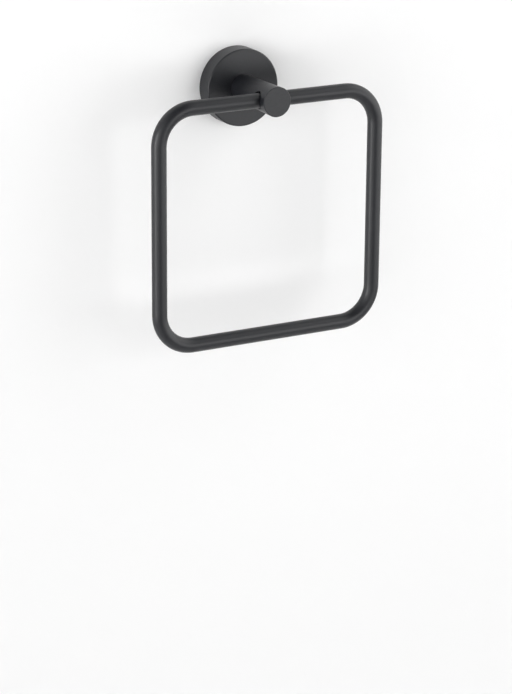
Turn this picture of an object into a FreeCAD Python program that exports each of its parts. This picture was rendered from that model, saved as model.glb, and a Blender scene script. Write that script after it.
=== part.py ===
import FreeCAD, Part
import math
import os
from FreeCAD import Vector

# Towel ring that swings in a single post on a round rosette. Millimetres.
# X runs to the right along the wall, Y runs into the wall and Z points up.
# The wall's surface is the plane Y = 0 and the post's axis is the Y axis.
# "out" in a name is a distance from the wall: a point at out = 52 has Y = -52.

# Rosette, the round cup that covers the wall plate
rosette_diameter = 55.0
rosette_depth = 13.5
rosette_side_wall = 2.6
rosette_front_wall = 4.0
rosette_edge_radius = 1.0
rosette_mouth_chamfer = 0.5

# Post, a shallow cone that widens towards its flat front end
post_base_diameter = 19.0
post_front_diameter = 21.0
post_nose = 11.5
post_edge_radius = 0.5

# Flatted spigot at the post's base, which stops the post turning in the rosette
spigot_diameter = 12.0
spigot_across_flats = 10.0
spigot_length = 1.9
spigot_end_gap = 0.1
spigot_clearance = 0.1

# Ring, a round tube bent to a rounded square, and the distance of its plane from the wall
bar_diameter = 10.6
bar_wall = 1.5
ring_width = 179.4
ring_height = 178.9
ring_bend_radius = 25.0
ring_end_chamfer = 0.3
ring_out = 52.0

# Cross hole in the post: the bar lies on the bottom of a hole that is wider than it
ring_play = 0.4
ring_contact_gap = 0.05
cross_hole_edge_radius = 0.6

# Pin inside the ring's two ends
joint_pin_length = 30.0
joint_pin_clearance = 0.05
joint_pin_chamfer = 0.5

# Wall plate, the disc that is screwed to the wall through two countersunk holes
plate_clearance = 0.3
plate_front_gap = 1.5
plate_edge_chamfer = 0.6
plate_opening_clearance = 1.6
wall_hole_diameter = 4.6
wall_hole_head_diameter = 8.4
wall_hole_land = 2.3

# V groove round the middle of the wall plate's rim
groove_depth = 1.6
groove_floor_width = 0.8

# Grub screws with a hexagon socket: one has a cone point, the other a dog point
grub_diameter = 4.0
grub_socket_across_flats = 2.0
grub_socket_depth = 1.7
grub_edge_chamfer = 0.3
cone_tip_diameter = 0.8
cone_tip_gap = 0.25
locking_screw_recess = 0.3
dog_diameter = 2.5
dog_tip_gap = 0.3
dog_shoulder_gap = 0.4
dog_side_gap = 0.6
ring_stop_recess = 0.8

# Post screw with a domed head and a hexagon socket, and its split washer
post_screw_diameter = 6.0
post_screw_length = 16.0
post_screw_head_diameter = 10.5
post_screw_head_height = 3.3
post_screw_head_rim = 0.8
post_screw_crown_diameter = 6.0
post_screw_crown_bulge = 0.6
post_screw_socket_across_flats = 4.0
post_screw_socket_depth = 2.0
post_screw_end_chamfer = 0.8
web_hole_clearance = 0.2
washer_outer_diameter = 11.8
washer_inner_diameter = 6.2
washer_thickness = 1.6
washer_slit_width = 0.9
washer_slit_angle = 25.0

# Gap between a screw and the thread it turns in, and the drilled hole's end
thread_clearance = 0.05
tapped_run_out = 2.7
drill_point_angle = 118.0

# Sizes that follow
rosette_radius = rosette_diameter / 2
cavity_radius = rosette_radius - rosette_side_wall
cavity_floor_out = rosette_depth - rosette_front_wall
plate_radius = cavity_radius - plate_clearance
plate_thickness = cavity_floor_out - plate_front_gap
groove_out = plate_thickness / 2
groove_floor_radius = plate_radius - groove_depth
post_projection = ring_out + post_nose
post_length = post_projection - rosette_depth
spigot_start_out = rosette_depth - spigot_length
bar_radius = bar_diameter / 2
bar_bore_radius = bar_radius - bar_wall
cross_hole_radius = bar_radius + ring_play
ring_axis_height = ring_contact_gap - ring_play
joint_pin_radius = bar_bore_radius - joint_pin_clearance
washer_top_out = cavity_floor_out - washer_thickness
grub_hole_radius = grub_diameter / 2 + thread_clearance

toward_wall = Vector(0, 1, 0)
outward = Vector(0, -1, 0)
up = Vector(0, 0, 1)
right = Vector(1, 0, 0)
origin = Vector(0, 0, 0)


def place(x, out, z):
    return Vector(x, -out, z)


def turned(outline):
    """Solid of revolution about the post's axis, from (radius, out) corners."""
    corners = [place(radius, out, 0) for radius, out in outline]
    wire = Part.makePolygon(corners + corners[:1])
    return Part.Face(wire).revolve(origin, toward_wall, 360)


def rim_edges(shape, radius, out):
    """Full circles of one radius about the post's axis, at one distance from the wall."""
    found = []
    for edge in shape.Edges:
        if not isinstance(edge.Curve, Part.Circle):
            continue
        if abs(edge.Curve.Radius - radius) < 1e-6 and abs(edge.Curve.Center.y + out) < 1e-6:
            found.append(edge)
    return found


def hexagon_socket(across_flats, depth, mouth, inward):
    """Hexagonal hole that ends in the drill's shallow cone."""
    corner_radius = across_flats / math.sqrt(3)
    side = inward.cross(right)
    corners = []
    for corner in range(7):
        angle = math.radians(60 * corner)
        corners.append(mouth + (right * math.cos(angle) + side * math.sin(angle)) * corner_radius)
    prism = Part.Face(Part.makePolygon(corners)).extrude(inward * depth)
    drill_point = Part.makeCone(across_flats / 2, 0, across_flats / 4, mouth + inward * depth, inward)
    return prism.fuse(drill_point)


def spigot(growth, from_out, to_out):
    """Round spigot with a flat above and a flat below, grown all round by a clearance."""
    radius = spigot_diameter / 2 + growth
    across = spigot_across_flats + 2 * growth
    length = to_out - from_out
    round_part = Part.makeCylinder(radius, length, place(0, from_out, 0), outward)
    slab = Part.makeBox(2 * radius, length, across, place(-radius, to_out, -across / 2))
    return round_part.common(slab)


def make_wall_plate():
    opening_radius = washer_outer_diameter / 2 + plate_opening_clearance
    floor_half = groove_floor_width / 2
    mouth_half = floor_half + groove_depth
    plate = turned([
        (opening_radius, 0),
        (plate_radius - plate_edge_chamfer, 0),
        (plate_radius, plate_edge_chamfer),
        (plate_radius, groove_out - mouth_half),
        (groove_floor_radius, groove_out - floor_half),
        (groove_floor_radius, groove_out + floor_half),
        (plate_radius, groove_out + mouth_half),
        (plate_radius, plate_thickness - plate_edge_chamfer),
        (plate_radius - plate_edge_chamfer, plate_thickness),
        (opening_radius, plate_thickness),
    ])
    hole_radius = wall_hole_diameter / 2
    head_radius = wall_hole_head_diameter / 2
    sink_depth = head_radius - hole_radius
    hole_height = groove_floor_radius - wall_hole_land - head_radius
    for z in (-hole_height, hole_height):
        hole = Part.makeCylinder(hole_radius, plate_thickness, place(0, 0, z), outward)
        sink_start = place(0, plate_thickness - sink_depth, z)
        sink = Part.makeCone(hole_radius, head_radius, sink_depth, sink_start, outward)
        plate = plate.cut(hole.fuse(sink))
    return plate


def make_rosette():
    cup = turned([
        (0, rosette_depth),
        (rosette_radius, rosette_depth),
        (rosette_radius, 0),
        (cavity_radius + rosette_mouth_chamfer, 0),
        (cavity_radius, rosette_mouth_chamfer),
        (cavity_radius, cavity_floor_out),
        (0, cavity_floor_out),
    ])
    cup = cup.makeFillet(rosette_edge_radius, rim_edges(cup, rosette_radius, rosette_depth))
    recess = spigot(spigot_clearance, spigot_start_out - spigot_end_gap, rosette_depth)
    web_hole_radius = post_screw_diameter / 2 + web_hole_clearance
    web_hole = Part.makeCylinder(
        web_hole_radius, rosette_front_wall, place(0, cavity_floor_out, 0), outward
    )
    screw_hole = Part.makeCylinder(
        grub_hole_radius, 2 * rosette_side_wall, place(0, groove_out, -rosette_radius), up
    )
    return cup.cut(recess).cut(web_hole).cut(screw_hole)


def post_radius_at(out):
    widening = (post_front_diameter - post_base_diameter) * (out - rosette_depth) / post_length
    return (post_base_diameter + widening) / 2


def cross_hole_mouths(shape):
    """Edges where the cross hole breaks through the post's side."""
    found = []
    for edge in shape.Edges:
        points = edge.discretize(9)
        from_axis = [math.hypot(point.y + ring_out, point.z) for point in points]
        if all(abs(distance - cross_hole_radius) < 1e-3 for distance in from_axis):
            found.append(edge)
    return found


def make_post():
    base_radius = post_base_diameter / 2
    front_radius = post_front_diameter / 2
    post = Part.makeCone(base_radius, front_radius, post_length, place(0, rosette_depth, 0), outward)
    post = post.makeFillet(post_edge_radius, rim_edges(post, front_radius, post_projection))
    cross_hole_start = place(-post_front_diameter, ring_out, 0)
    cross_hole = Part.makeCylinder(cross_hole_radius, 2 * post_front_diameter, cross_hole_start, right)
    post = post.cut(cross_hole)
    post = post.makeFillet(cross_hole_edge_radius, cross_hole_mouths(post))
    post = post.fuse(spigot(0, spigot_start_out, rosette_depth))

    tapped_radius = post_screw_diameter / 2 + thread_clearance
    tapped_end_out = washer_top_out + post_screw_length + tapped_run_out
    tapped_depth = tapped_end_out - spigot_start_out
    tapped_hole = Part.makeCylinder(tapped_radius, tapped_depth, place(0, spigot_start_out, 0), outward)
    point_height = tapped_radius / math.tan(math.radians(drill_point_angle / 2))
    drill_point = Part.makeCone(tapped_radius, 0, point_height, place(0, tapped_end_out, 0), outward)
    stop_hole = Part.makeCylinder(grub_hole_radius, front_radius, place(0, ring_out, -front_radius), up)
    return post.cut(tapped_hole.fuse(drill_point)).cut(stop_hole)


def ring_centreline():
    """Path of the tube's centre, from one end in the post right round to the other."""
    half_width = (ring_width - bar_diameter) / 2
    end_x = dog_diameter / 2 + dog_side_gap
    top = ring_axis_height
    bottom = top - (ring_height - bar_diameter)
    corners = [
        place(half_width, ring_out, top),
        place(half_width, ring_out, bottom),
        place(-half_width, ring_out, bottom),
        place(-half_width, ring_out, top),
    ]
    directions = [right, -up, -right, up, right]
    edges = []
    start = place(end_x, ring_out, top)
    for corner, arriving, leaving in zip(corners, directions, directions[1:]):
        bend_start = corner - arriving * ring_bend_radius
        bend_centre = bend_start + leaving * ring_bend_radius
        bend_middle = bend_centre + (arriving - leaving) * (ring_bend_radius / math.sqrt(2))
        bend_end = corner + leaving * ring_bend_radius
        edges.append(Part.LineSegment(start, bend_start).toShape())
        edges.append(Part.Arc(bend_start, bend_middle, bend_end).toShape())
        start = bend_end
    edges.append(Part.LineSegment(start, place(-end_x, ring_out, top)).toShape())
    return Part.Wire(edges)


def make_ring():
    path = ring_centreline()
    start = path.Edges[0].Vertexes[0].Point
    outside_section = Part.Wire(Part.makeCircle(bar_radius, start, right))
    bore_section = Part.Wire(Part.makeCircle(bar_bore_radius, start, right))
    ring = path.makePipeShell([outside_section], True, False)
    ring = ring.cut(path.makePipeShell([bore_section], True, False))
    end_edges = []
    for edge in ring.Edges:
        if not isinstance(edge.Curve, Part.Circle):
            continue
        at_end = abs(abs(edge.Curve.Center.x) - start.x) < 1e-6
        if at_end and abs(edge.Curve.Radius - bar_radius) < 1e-6:
            end_edges.append(edge)
    return ring.makeChamfer(ring_end_chamfer, end_edges)


def make_ring_joint_pin():
    start = place(-joint_pin_length / 2, ring_out, ring_axis_height)
    pin = Part.makeCylinder(joint_pin_radius, joint_pin_length, start, right)
    end_edges = [edge for edge in pin.Edges if isinstance(edge.Curve, Part.Circle)]
    return pin.makeChamfer(joint_pin_chamfer, end_edges)


def grub_screw(start, point_outline):
    """Headless screw that points up. The outline of its point is (radius, height over start) corners."""
    radius = grub_diameter / 2
    outline = [(0, 0), (radius - grub_edge_chamfer, 0), (radius, grub_edge_chamfer)]
    outline += point_outline + [(0, point_outline[-1][1])]
    corners = [start + right * reach + up * height for reach, height in outline]
    screw = Part.Face(Part.makePolygon(corners + corners[:1])).revolve(start, up, 360)
    return screw.cut(hexagon_socket(grub_socket_across_flats, grub_socket_depth, start, up))


def make_locking_screw():
    radius = grub_diameter / 2
    tip_radius = cone_tip_diameter / 2
    start = place(0, groove_out, locking_screw_recess - rosette_radius)
    tip_height = -groove_floor_radius - cone_tip_gap - start.z
    cone_height = radius - tip_radius
    return grub_screw(start, [(radius, tip_height - cone_height), (tip_radius, tip_height)])


def make_ring_stop_screw():
    radius = grub_diameter / 2
    dog_radius = dog_diameter / 2
    start = place(0, ring_out, ring_stop_recess - post_radius_at(ring_out))
    shoulder_height = -cross_hole_radius - dog_shoulder_gap - start.z
    tip_height = ring_axis_height - joint_pin_radius - dog_tip_gap - start.z
    return grub_screw(
        start, [(radius, shoulder_height), (dog_radius, shoulder_height), (dog_radius, tip_height)]
    )


def make_post_screw():
    radius = post_screw_diameter / 2
    head_radius = post_screw_head_diameter / 2
    end_out = washer_top_out + post_screw_length
    head_top = washer_top_out - post_screw_head_height
    shoulder = place(head_radius, washer_top_out - post_screw_head_rim, 0)
    crown = place(post_screw_crown_diameter / 2, head_top, 0)
    bulge = Vector(post_screw_crown_bulge, post_screw_crown_bulge, 0)
    dome = Part.Arc(shoulder, (shoulder + crown) * 0.5 + bulge, crown)
    corners = [
        crown,
        place(0, head_top, 0),
        place(0, end_out, 0),
        place(radius - post_screw_end_chamfer, end_out, 0),
        place(radius, end_out - post_screw_end_chamfer, 0),
        place(radius, washer_top_out, 0),
        place(head_radius, washer_top_out, 0),
        shoulder,
    ]
    edges = [Part.LineSegment(first, second).toShape() for first, second in zip(corners, corners[1:])]
    outline = Part.Wire(edges + [dome.toShape()])
    screw = Part.Face(outline).revolve(origin, toward_wall, 360)
    mouth = place(0, head_top, 0)
    return screw.cut(
        hexagon_socket(post_screw_socket_across_flats, post_screw_socket_depth, mouth, outward)
    )


def make_spring_washer():
    washer = turned([
        (washer_inner_diameter / 2, washer_top_out),
        (washer_outer_diameter / 2, washer_top_out),
        (washer_outer_diameter / 2, cavity_floor_out),
        (washer_inner_diameter / 2, cavity_floor_out),
    ])
    slit_corner = place(-washer_slit_width / 2, cavity_floor_out + washer_thickness, 0)
    slit = Part.makeBox(washer_slit_width, 3 * washer_thickness, washer_outer_diameter, slit_corner)
    slit.rotate(place(0, cavity_floor_out - washer_thickness / 2, 0), up, washer_slit_angle)
    return washer.cut(slit)


pieces = {
    "wall_plate": make_wall_plate,
    "rosette": make_rosette,
    "locking_screw": make_locking_screw,
    "post": make_post,
    "post_screw": make_post_screw,
    "spring_washer": make_spring_washer,
    "ring": make_ring,
    "ring_joint_pin": make_ring_joint_pin,
    "ring_stop_screw": make_ring_stop_screw,
}

os.makedirs("parts", exist_ok=True)
for name, make_piece in pieces.items():
    shape = make_piece()
    shape.exportStep(f"parts/{name}.step")
    print(name, "solids", len(shape.Solids), "valid", shape.isValid(), "volume", round(shape.Volume, 1))
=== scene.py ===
import bpy
import math
from mathutils import Matrix, Vector


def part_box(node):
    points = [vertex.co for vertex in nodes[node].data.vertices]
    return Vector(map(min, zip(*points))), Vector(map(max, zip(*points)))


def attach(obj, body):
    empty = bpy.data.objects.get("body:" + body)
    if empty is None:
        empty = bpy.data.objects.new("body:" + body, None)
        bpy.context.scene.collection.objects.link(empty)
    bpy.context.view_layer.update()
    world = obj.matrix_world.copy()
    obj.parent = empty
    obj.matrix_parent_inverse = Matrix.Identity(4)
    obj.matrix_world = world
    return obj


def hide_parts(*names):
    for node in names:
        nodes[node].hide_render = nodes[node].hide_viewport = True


# Towel ring in matt black on a white wall. Metres. X right, Y into the wall, Z up.

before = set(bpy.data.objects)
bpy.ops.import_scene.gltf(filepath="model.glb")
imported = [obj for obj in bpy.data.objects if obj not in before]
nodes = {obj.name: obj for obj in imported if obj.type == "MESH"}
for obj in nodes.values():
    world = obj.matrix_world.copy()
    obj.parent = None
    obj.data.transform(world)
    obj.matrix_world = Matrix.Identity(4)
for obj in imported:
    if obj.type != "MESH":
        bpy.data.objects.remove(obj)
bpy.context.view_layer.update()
print("frame loaded:", len(nodes), "pieces")


# Camera

view = {
    "yaw": 28.225,  # degrees to the left of straight on
    "pitch": 18.532,  # degrees down
    "roll": 0.452,
    "distance": 1.8179,
    "aim": Vector((0.0189, 0.0, -0.1976)),
    "lens": 129.04,  # on a 36 mm sensor, along the picture's long side
    "nearest": 0.05,
    "farthest": 50,
}


def addCamera():
    yaw, pitch = math.radians(view["yaw"]), math.radians(view["pitch"])
    back = Vector((-math.sin(yaw) * math.cos(pitch), -math.cos(yaw) * math.cos(pitch), math.sin(pitch)))
    right = Vector((0, 0, 1)).cross(back).normalized()
    turn = Matrix((right, back.cross(right), back)).transposed()
    turn = turn @ Matrix.Rotation(math.radians(view["roll"]), 3, "Z")
    bpy.ops.object.camera_add()
    camera = bpy.context.object
    camera.matrix_world = Matrix.Translation(view["aim"] + back * view["distance"]) @ turn.to_4x4()
    camera.data.lens = view["lens"]
    camera.data.clip_start = view["nearest"]
    camera.data.clip_end = view["farthest"]
    bpy.context.scene.camera = camera


addCamera()
print("camera at", [round(place, 3) for place in bpy.context.scene.camera.matrix_world.translation])


# A shader socket that can be used in Python expressions

class Wire:
    def __init__(self, tree, socket=None):
        self.tree = tree
        self.socket = socket

    def node(self, kind, settings, inputs, output=0):
        made = self.tree.nodes.new("ShaderNode" + kind)
        for name, value in settings.items():
            setattr(made, name, value)
        for name, value in inputs.items():
            if isinstance(value, Wire):
                self.tree.links.new(value.socket, made.inputs[name])
            else:
                made.inputs[name].default_value = value
        return Wire(self.tree, made.outputs[output] if made.outputs else None)

    def maths(self, operation, first, second=0.0):
        return self.node("Math", {"operation": operation}, {0: first, 1: second})

    def __add__(self, other):
        return self.maths("ADD", self, other)

    def __radd__(self, other):
        return self.maths("ADD", other, self)

    def __sub__(self, other):
        return self.maths("SUBTRACT", self, other)

    def __rsub__(self, other):
        return self.maths("SUBTRACT", other, self)

    def __mul__(self, other):
        return self.maths("MULTIPLY", self, other)

    def __rmul__(self, other):
        return self.maths("MULTIPLY", other, self)

    def __lt__(self, other):
        return self.maths("LESS_THAN", self, other)

    def __gt__(self, other):
        return self.maths("GREATER_THAN", self, other)

    def __abs__(self):
        return self.maths("ABSOLUTE", self)


def split(place):
    parts = place.node("SeparateXYZ", {}, {0: place}).socket.node.outputs
    return [Wire(place.tree, part) for part in parts]


def combine(x, y, z):
    return x.node("CombineXYZ", {}, {0: x, 1: y, 2: z})


def reach(first, second):
    return first.maths("SQRT", first * first + second * second)


def noise(place, size, detail=2.0):
    return place.node("TexNoise", {}, {"Vector": place, "Scale": 1 / size, "Detail": detail})


def stretchedNoise(place, sizes):
    inputs = {"Vector": place, "Scale": [1 / size for size in sizes]}
    return noise(place.node("Mapping", {"vector_type": "POINT"}, inputs), 1.0)


# Fine rings round the Y axis, as a lathe leaves them
def turnedLines(place, width, length):
    x, y, z = split(place)
    return stretchedNoise(combine(reach(x, z), y, z), (width, width, length))


# The Mix node's sockets have the same names for every kind: 6 and 7 are its colours, 2 and 3 its values
def mixColour(amount, first, second):
    inputs = {"Factor": amount, 6: first, 7: second}
    return amount.node("Mix", {"data_type": "RGBA"}, inputs, output=2)


def mixValue(amount, first, second):
    return amount.node("Mix", {}, {"Factor": amount, 2: first, 3: second})


noiseRange = (0.3, 0.7)  # where nearly all of a noise's values lie


def rescale(value, newLow, newHigh, within=noiseRange):
    low, high = within
    inputs = {"Value": value, "From Min": low, "From Max": high, "To Min": newLow, "To Max": newHigh}
    return value.node("MapRange", {}, inputs)


def startMaterial(name):
    material = bpy.data.materials.new(name)
    material.use_nodes = True
    material.node_tree.nodes.clear()
    return material, Wire(material.node_tree).node("TexCoord", {}, {}, output="Object")


def finishMaterial(material, shader):
    shader.node("OutputMaterial", {}, {"Surface": shader})
    return material


# Stage: wall, floor and light

stageSizes = {
    "wallOpening": 0.0268,  # radius, hidden behind the rosette
    "wallRadius": 2.0,
    "wallSides": 96,
    "wallForward": 0.0001,  # how far the wall stands in front of the pieces' backs
    "floorHeight": -1.5,
    "floorWidth": 4.0,
    "floorDepth": 2.0,  # out from the wall
}
plaster = {
    "high": (0.97, 0.97, 0.97, 1),
    "low": (0.88, 0.88, 0.88, 1),  # painted shade: the wall colour darkens slowly towards the floor, standing in for light falling off lower down
    "highAt": 0.05,
    "lowAt": -0.5,
    "patchSize": 0.4,
    "patchReach": 0.1,
    "waveSize": 0.012,
    "grainSize": 0.0015,
    "grainShare": 0.2,
    "bumpStrength": 0.25,
    "depth": 0.0004,
    "roughness": 0.85,
}
floorPaint = {
    "dark": (0.8, 0.8, 0.8, 1),
    "light": (0.84, 0.84, 0.83, 1),
    "patchSize": 0.5,
    "rubSize": 0.05,
    "roughness": (0.55, 0.7),
}


# From behind the wall is clear, so that the object's back can be looked at
def plasterMaterial():
    material, place = startMaterial("whitePlaster")
    grain = noise(place, plaster["grainSize"]) * plaster["grainShare"]
    bump = place.node("Bump", {}, {
        "Height": noise(place, plaster["waveSize"], detail=4.0) + grain,
        "Strength": plaster["bumpStrength"],
        "Distance": plaster["depth"],
    })
    x, y, z = split(place)
    # Painted shade: the plaster colour darkens from highAt down to lowAt, in place of the light falling
    # off towards the floor
    paintedShadeDrop = rescale(z, 0, 1, within=(plaster["highAt"], plaster["lowAt"]))
    patch = noise(place, plaster["patchSize"]) * plaster["patchReach"]
    front = place.node("BsdfPrincipled", {}, {
        "Base Color": mixColour(paintedShadeDrop + patch, plaster["high"], plaster["low"]),
        "Roughness": plaster["roughness"],
        "Normal": bump,
    })
    clear = place.node("BsdfTransparent", {}, {})
    behind = place.node("NewGeometry", {}, {}, output="Backfacing")
    return finishMaterial(material, place.node("MixShader", {}, {0: behind, 1: front, 2: clear}))


def floorMaterial():
    material, place = startMaterial("paleFloor")
    patch = noise(place, floorPaint["patchSize"], detail=5.0)
    rub = noise(place, floorPaint["rubSize"], detail=3.0)
    return finishMaterial(material, place.node("BsdfPrincipled", {}, {
        "Base Color": mixColour(patch, floorPaint["dark"], floorPaint["light"]),
        "Roughness": rescale(rub, *floorPaint["roughness"]),
    }))


def addWall(sizes):
    bpy.ops.mesh.primitive_circle_add(
        vertices=sizes["wallSides"],
        radius=sizes["wallOpening"],
        location=(0, -sizes["wallForward"], 0),
        rotation=(math.pi / 2, 0, 0),
    )
    wall = bpy.context.object
    wall.name = "wall"
    bpy.ops.object.transform_apply()
    bpy.ops.object.mode_set(mode="EDIT")
    bpy.ops.mesh.select_all(action="SELECT")
    bpy.ops.mesh.extrude_edges_move()
    grow = sizes["wallRadius"] / sizes["wallOpening"]
    bpy.ops.transform.resize(value=(grow, 1, grow), center_override=(0, 0, 0))
    bpy.ops.object.mode_set(mode="OBJECT")
    if wall.data.polygons[0].normal.y > 0:
        wall.data.flip_normals()
    wall.data.materials.append(plasterMaterial())


def addFloor(sizes):
    middle = (0, -sizes["floorDepth"] / 2, sizes["floorHeight"])
    bpy.ops.mesh.primitive_plane_add(size=1, location=middle)
    floor = bpy.context.object
    floor.name = "floor"
    floor.scale = (sizes["floorWidth"], sizes["floorDepth"], 1)
    bpy.ops.object.transform_apply()
    floor.data.materials.append(floorMaterial())


# Soft boxes round the ring: "round" is degrees from the wall's right-hand side, "up" is degrees up.
# Sizes are in metres, powers in watts.
lampAim = Vector((0.0, -0.04, -0.08))
lampDistance = 3.0
lamps = {
    "tallRight": {"round": 10, "up": 20, "size": (1.05, 4.3), "power": 34},
    "keyRight": {"round": 50, "up": 0, "size": (3.45, 2.1), "power": 54},
    "highRight": {"round": 40, "up": 40, "size": (1.6, 2.1), "power": 17},
    "frontFill": {"round": 100, "up": 0, "size": (2.2, 2.1), "power": 9},
    "fillLeft": {"round": 140, "up": 0, "size": (2.2, 2.1), "power": 27},
    "highLeft": {"round": 150, "up": 40, "size": (2.6, 2.1), "power": 11},
    "edgeLeft": {"round": 170, "up": 0, "size": (1.05, 2.1), "power": 50},
    # These two light only the back
    "behind": {"round": -90, "up": 0, "size": (8.0, 6.0), "power": 75},
    "behindHigh": {"round": -110, "up": 55, "size": (2.5, 1.5), "power": 150},
}


def addLamp(name, lamp):
    around, up = math.radians(lamp["round"]), math.radians(lamp["up"])
    toLamp = Vector((math.cos(around) * math.cos(up), -math.sin(around) * math.cos(up), math.sin(up)))
    bpy.ops.object.light_add(
        type="AREA",
        location=lampAim + toLamp * lampDistance,
        rotation=toLamp.to_track_quat("Z", "Y").to_euler(),
    )
    light = bpy.context.object
    light.name = name
    light.data.shape = "RECTANGLE"
    light.data.size, light.data.size_y = lamp["size"]
    light.data.energy = lamp["power"]


# The room is pale to look at and gives the object only a little light
room = {"seen": (0.85, 0.86, 0.88, 1), "given": (0.03, 0.03, 0.03, 1)}


def addRoom():
    world = bpy.data.worlds.new("paleRoom")
    world.use_nodes = True
    cameraRay = Wire(world.node_tree).node("LightPath", {}, {}, output="Is Camera Ray")
    colour = mixColour(cameraRay, room["given"], room["seen"])
    world.node_tree.links.new(colour.socket, world.node_tree.nodes["Background"].inputs["Color"])
    bpy.context.scene.world = world


bpy.ops.object.select_all(action="DESELECT")
addWall(stageSizes)
addFloor(stageSizes)
for name, lamp in lamps.items():
    addLamp(name, lamp)
addRoom()
bpy.context.scene.view_settings.view_transform = "Standard"
print("stage ready:", len(lamps), "lamps")


# Threads, cut into copies of the plain screws

screws = {
    "locking_screw": {"axisY": -0.004, "major": 0.004, "pitch": 0.0007, "slot": "blackened_steel"},
    "ring_stop_screw": {"axisY": -0.052, "major": 0.004, "pitch": 0.0007, "slot": "blackened_steel"},
    "post_screw": {"head": 0.0033, "major": 0.006, "pitch": 0.001, "slot": "plated_steel"},
}
threadDie = {
    "rootDepth": 0.541,  # in pitches, as are the two widths
    "rootWidth": 0.25,
    "mouthWidth": 0.92,
    "over": 0.00006,  # how far the die stands out of the screw's side
    "plainNeck": 0.001,  # left unthreaded under the post screw's head
    "steps": 36,
    "sameCorner": 0.000002,
    "shortest": 0.000003,  # edges under this are closed up after the cut
    "smoothUnder": 28,  # degrees
}


def onlySelect(piece):
    bpy.ops.object.select_all(action="DESELECT")
    piece.select_set(True)
    bpy.context.view_layer.objects.active = piece


def mergeClose(distance):
    bpy.ops.object.mode_set(mode="EDIT")
    bpy.ops.mesh.select_all(action="SELECT")
    bpy.ops.mesh.remove_doubles(threshold=distance)
    bpy.ops.object.mode_set(mode="OBJECT")


def copyNode(name):
    piece = bpy.data.objects.new(name + "_threaded", nodes[name].data.copy())
    bpy.context.collection.objects.link(piece)
    onlySelect(piece)
    bpy.ops.mesh.customdata_custom_splitnormals_clear()
    mergeClose(threadDie["sameCorner"])
    return piece


# A helical groove: a plane's four edges as its section, turned up the Z axis
def makeDie(screw, length):
    pitch = screw["pitch"]
    inner = screw["major"] / 2 - threadDie["rootDepth"] * pitch
    outer = screw["major"] / 2 + threadDie["over"]
    middle = (inner + outer) / 2
    bpy.ops.mesh.primitive_plane_add(size=1, location=(middle, 0, 0), rotation=(math.pi / 2, 0, 0))
    die = bpy.context.object
    bpy.ops.object.transform_apply()
    bpy.ops.object.mode_set(mode="EDIT")
    bpy.ops.mesh.select_all(action="SELECT")
    size = (outer - inner, 1, threadDie["mouthWidth"] * pitch)
    bpy.ops.transform.resize(value=size, center_override=(middle, 0, 0))
    bpy.ops.mesh.select_all(action="DESELECT")
    bpy.ops.object.mode_set(mode="OBJECT")
    for corner in die.data.vertices:
        corner.select = corner.co.x < middle
    bpy.ops.object.mode_set(mode="EDIT")
    narrow = threadDie["rootWidth"] / threadDie["mouthWidth"]
    bpy.ops.transform.resize(value=(1, 1, narrow), center_override=(inner, 0, 0))
    bpy.ops.mesh.select_all(action="SELECT")
    bpy.ops.mesh.delete(type="ONLY_FACE")
    bpy.ops.object.mode_set(mode="OBJECT")
    turning = die.modifiers.new("turning", "SCREW")
    turning.axis = "Z"
    turning.steps = turning.render_steps = threadDie["steps"]
    turning.screw_offset = pitch
    turning.iterations = math.ceil(length / pitch)
    bpy.context.view_layer.objects.active = die
    bpy.ops.object.modifier_apply(modifier="turning")
    bpy.ops.object.mode_set(mode="EDIT")
    bpy.ops.mesh.select_all(action="SELECT")
    bpy.ops.mesh.fill_holes(sides=4)
    bpy.ops.mesh.normals_make_consistent(inside=False)
    bpy.ops.object.mode_set(mode="OBJECT")
    return die


def cutThread(name, screw):
    low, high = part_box(name)
    piece = copyNode(name)
    if name == "post_screw":
        threadEnd = high[1] - screw["head"] - threadDie["plainNeck"]
        die = makeDie(screw, threadEnd - low[1])
        die.rotation_euler = (math.pi / 2, 0, 0)
        die.location = (0, threadEnd, 0)
    else:
        die = makeDie(screw, high[2] - low[2] + screw["pitch"])
        die.location = (0, screw["axisY"], low[2] - screw["pitch"] / 2)
    cut = piece.modifiers.new("thread", "BOOLEAN")
    cut.operation = "DIFFERENCE"
    cut.solver = "EXACT"
    cut.object = die
    onlySelect(piece)
    bpy.ops.object.modifier_apply(modifier="thread")
    bpy.data.objects.remove(die)
    mergeClose(threadDie["shortest"])
    bpy.ops.object.shade_smooth_by_angle(angle=math.radians(threadDie["smoothUnder"]))
    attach(piece, "wall_mount")
    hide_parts(name)
    return piece


threaded = {name: cutThread(name, screw) for name, screw in screws.items()}
print("threads cut:", {name: len(piece.data.polygons) for name, piece in threaded.items()})


# Coat: matt black powder, with bare metal where the powder doesn't reach

coat = {
    "dark": (0.0055, 0.0060, 0.0082, 1),
    "light": (0.0122, 0.0132, 0.0168, 1),
    "speckSize": 0.0014,
    "peelSize": 0.0022,  # the slow ripple of a sprayed coat
    "grainSize": 0.00035,
    "grainShare": 0.2,
    "depth": 0.00003,
    "roughness": 0.40,
    "roughSpread": 0.06,
    "bare": (0.46, 0.45, 0.43, 1),
    "bareRoughness": (0.28, 0.42),
    "lineWidth": 0.00018,
    "lineLength": 0.01,
    "lineShare": 0.12,
}
bareAreas = {
    "cavityRadius": 0.02495,
    "cavityFloor": -0.00955,
    "recessRadius": 0.0062,
    "spigotStart": -0.01345,
    "barAxis": (-0.052, -0.00035),  # Y and Z of the ring's top run
    "boreRadius": 0.0041,
    "boreReach": 0.02,  # how far from the middle the bore is left bare
    "barEnd": 0.00187,
    "topRun": -0.01,  # the bar's ends are above this
}


def rosetteBare(x, y, z):
    fromAxis = reach(x, z)
    cavity = (fromAxis < bareAreas["cavityRadius"]) * (y > bareAreas["cavityFloor"])
    return cavity.maths("MAXIMUM", cavity, fromAxis < bareAreas["recessRadius"])


def postBare(x, y, z):
    return y > bareAreas["spigotStart"]


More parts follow.
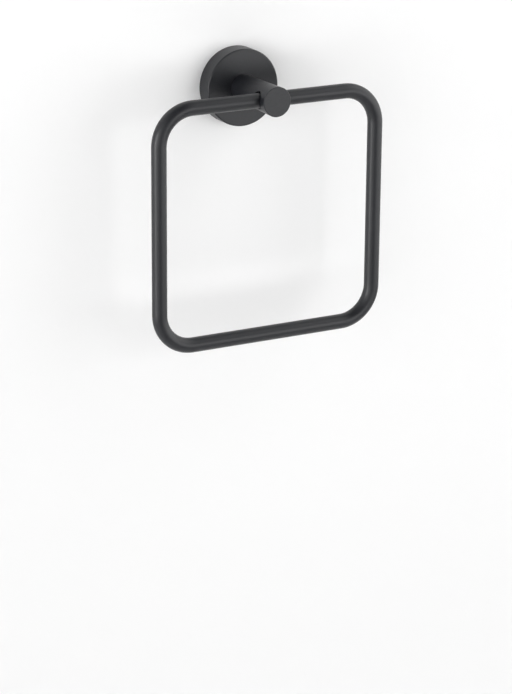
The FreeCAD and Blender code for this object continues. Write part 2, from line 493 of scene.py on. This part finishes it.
def ringBare(x, y, z):
    barY, barZ = bareAreas["barAxis"]
    inBore = reach(y - barY, z - barZ) < bareAreas["boreRadius"]
    bore = inBore * (abs(x) < bareAreas["boreReach"])
    ends = (abs(x) < bareAreas["barEnd"]) * (z > bareAreas["topRun"])
    return bore.maths("MAXIMUM", bore, ends)


def blackCoat(name, bareMask):
    material, place = startMaterial(name)
    x, y, z = split(place)
    bare = bareMask(x, y, z)
    peel = noise(place, coat["peelSize"], detail=1.0)
    grain = noise(place, coat["grainSize"])
    speck = noise(place, coat["speckSize"], detail=3.0)
    lines = turnedLines(place, coat["lineWidth"], coat["lineLength"])
    height = mixValue(bare, peel + grain * coat["grainShare"], lines * coat["lineShare"])
    middle, spread = coat["roughness"], coat["roughSpread"]
    coatRough = rescale(grain, middle - spread, middle + spread)
    return finishMaterial(material, place.node("BsdfPrincipled", {}, {
        "Base Color": mixColour(bare, mixColour(speck, coat["dark"], coat["light"]), coat["bare"]),
        "Metallic": bare,
        "Roughness": mixValue(bare, coatRough, rescale(lines, *coat["bareRoughness"])),
        "Normal": place.node("Bump", {}, {"Height": height, "Distance": coat["depth"]}),
    }))


coatedPieces = {"rosette": rosetteBare, "post": postBare, "ring": ringBare}
for name, bareMask in coatedPieces.items():
    nodes[name].material_slots[0].material = blackCoat(name + "Coat", bareMask)


# Zinc plate over turned, drawn or coiled steel

zinc = {
    "bright": (0.66, 0.67, 0.69, 1),
    "dull": (0.59, 0.60, 0.62, 1),
    "warm": (0.64, 0.63, 0.60, 1),  # the faint yellow of its passivation
    "cloudSize": 0.009,
    "warmSize": 0.0207,
    "warmRange": (0.5, 0.75),
    "warmMost": 0.7,
    "roughness": (0.39, 0.33),
    "lineWidth": 0.0004,
    "turnedLength": 0.02,
    "drawnLength": 0.012,
    "depth": 0.000014,
}


def zincPlate(name, drawn=False):
    material, place = startMaterial(name)
    width = zinc["lineWidth"]
    if drawn:
        lines = stretchedNoise(place, (zinc["drawnLength"], width, width))
    else:
        lines = turnedLines(place, width, zinc["turnedLength"])
    cloud = noise(place, zinc["cloudSize"], detail=3.0)
    plate = mixColour(rescale(cloud, 0, 1), zinc["dull"], zinc["bright"])
    warmth = rescale(noise(place, zinc["warmSize"]), 0, zinc["warmMost"], within=zinc["warmRange"])
    return finishMaterial(material, place.node("BsdfPrincipled", {}, {
        "Base Color": mixColour(warmth, plate, zinc["warm"]),
        "Metallic": 1.0,
        "Roughness": rescale(cloud, *zinc["roughness"]),
        "Normal": place.node("Bump", {}, {"Height": lines, "Distance": zinc["depth"]}),
    }))


turnedZinc = zincPlate("turnedZinc")
nodes["wall_plate"].material_slots[0].material = turnedZinc
nodes["spring_washer"].material_slots[0].material = turnedZinc
nodes["ring_joint_pin"].material_slots[0].material = zincPlate("drawnZinc", drawn=True)


# Black oxide on the grub screws, oily in places and rubbed on the threads' crests

oxide = {
    "dark": (0.018, 0.018, 0.020, 1),
    "light": (0.040, 0.040, 0.044, 1),
    "rubbed": (0.20, 0.20, 0.20, 1),
    "patchSize": 0.0015,
    "grainSize": 0.00008,
    "depth": 0.000002,
    "metallic": 0.7,
    "roughness": (0.26, 0.48),
    "rubReach": 0.00196,  # only the crests stand this far from the screw's axis
    "rubRange": (0.45, 0.6),
    "rubMost": 0.6,
}


def blackOxide(name, axisY):
    material, place = startMaterial(name)
    x, y, z = split(place)
    patch = noise(place, oxide["patchSize"], detail=3.0)
    grain = noise(place, oxide["grainSize"], detail=1.0)
    crest = reach(x, y - axisY) > oxide["rubReach"]
    rubbed = crest * rescale(patch, 0, oxide["rubMost"], within=oxide["rubRange"])
    black = mixColour(patch, oxide["dark"], oxide["light"])
    return finishMaterial(material, place.node("BsdfPrincipled", {}, {
        "Base Color": mixColour(rubbed, black, oxide["rubbed"]),
        "Metallic": oxide["metallic"],
        "Roughness": rescale(patch, *oxide["roughness"]),
        "Normal": place.node("Bump", {}, {"Height": grain, "Distance": oxide["depth"]}),
    }))


def setMaterial(piece, material):
    piece.data.materials.clear()
    piece.data.materials.append(material)


for name in ("locking_screw", "ring_stop_screw"):
    setMaterial(threaded[name], blackOxide(name + "Oxide", screws[name]["axisY"]))
setMaterial(threaded["post_screw"], zincPlate("screwZinc"))
print("materials:", len(bpy.data.materials))
